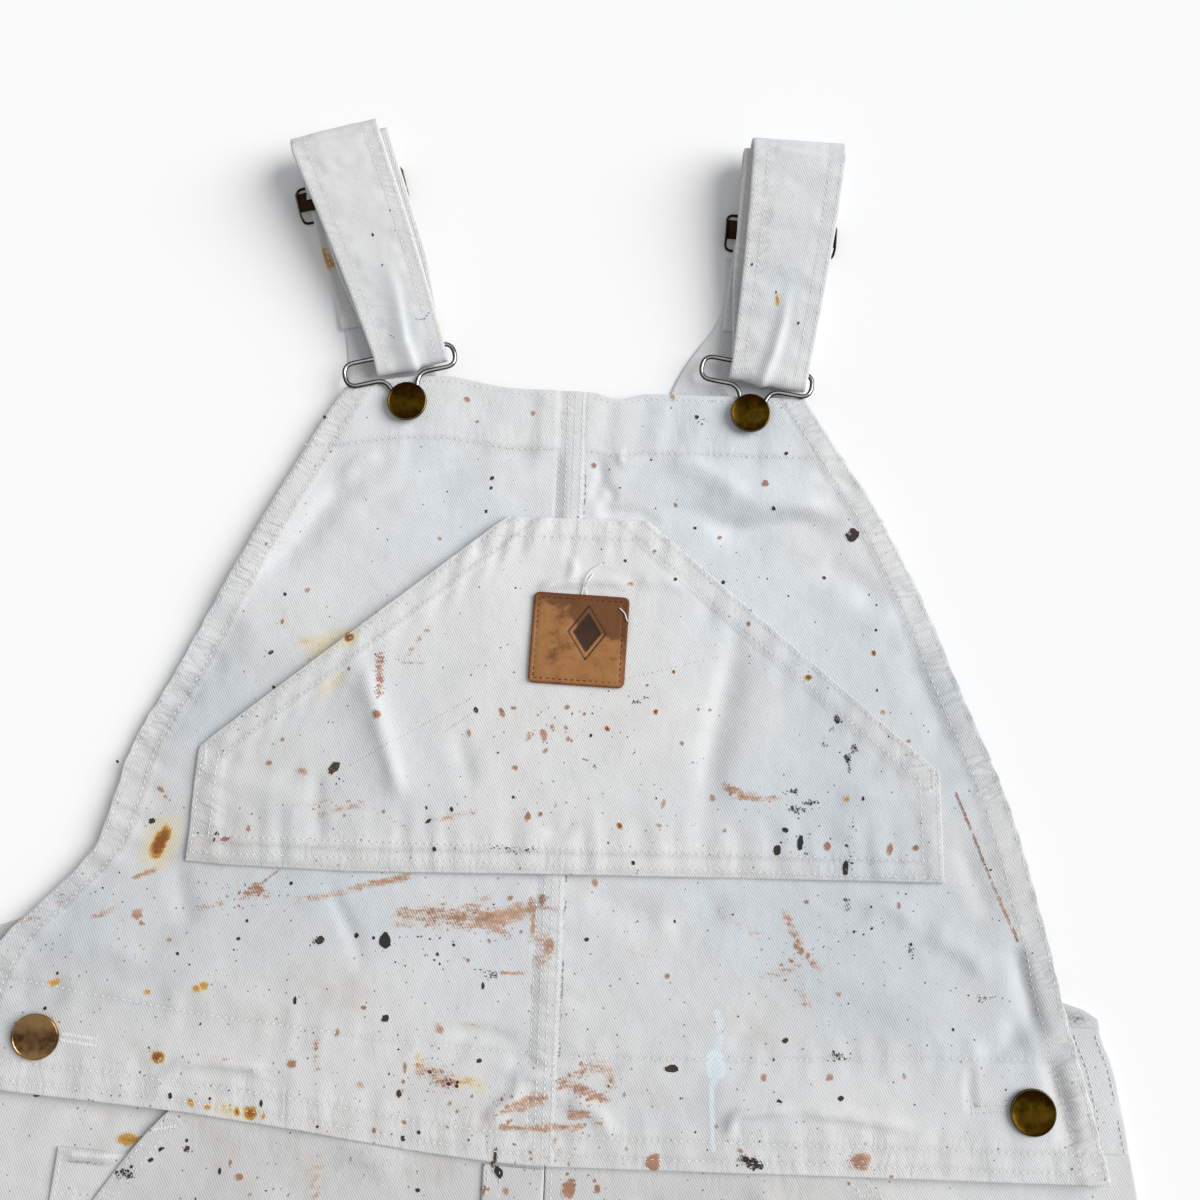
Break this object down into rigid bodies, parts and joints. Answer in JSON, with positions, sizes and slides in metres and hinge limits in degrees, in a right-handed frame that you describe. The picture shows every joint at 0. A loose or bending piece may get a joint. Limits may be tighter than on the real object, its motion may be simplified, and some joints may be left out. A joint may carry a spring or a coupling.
{
  "type": "bib overalls",
  "caption": "White cotton bib overalls laid flat, front up, with folded-over shoulder straps, wire hooks, bib pocket, brass buttons, rust and paint stains.",
  "frame": {"origin": "on the surface the garment lies on, under the middle of its bounding box", "axes": "+Y up the garment from the leg hems to the straps, +X to the viewer's right looking down at the front, +Z out of the front"},
  "size_m": [0.6058, 1.5302, 0.0257],
  "materials": {
    "cotton_drill": "washed white twill with paint and rust stains",
    "old_brass": "dark antique brass, worn bright at the rim",
    "nickel_wire": "polished nickel wire",
    "dark_metal": "nearly black aged metal",
    "brown_leather": "worn tan leather"
  },
  "bodies": {
    "root": {"back_bib_left": "cotton_drill", "back_bib_right": "cotton_drill", "back_leg_left": "cotton_drill", "back_leg_right": "cotton_drill", "bib_button_left": "old_brass", "bib_button_right": "old_brass", "bib_left": "cotton_drill", "bib_pocket": "cotton_drill", "bib_right": "cotton_drill", "centre_seam": "cotton_drill", "fly_placket": "cotton_drill", "front_leg_left": "cotton_drill", "front_leg_right": "cotton_drill", "hip_facing_left": "cotton_drill", "hip_facing_right": "cotton_drill", "hook_left": "nickel_wire", "hook_right": "nickel_wire", "leather_patch": "brown_leather", "side_button_left": "old_brass", "side_button_right": "old_brass", "side_placket_left": "cotton_drill", "side_placket_right": "cotton_drill", "slide_left": "dark_metal", "slide_right": "dark_metal", "small_pocket": "cotton_drill", "strap_left": "cotton_drill", "strap_right": "cotton_drill"}
  },
  "joints": []
}
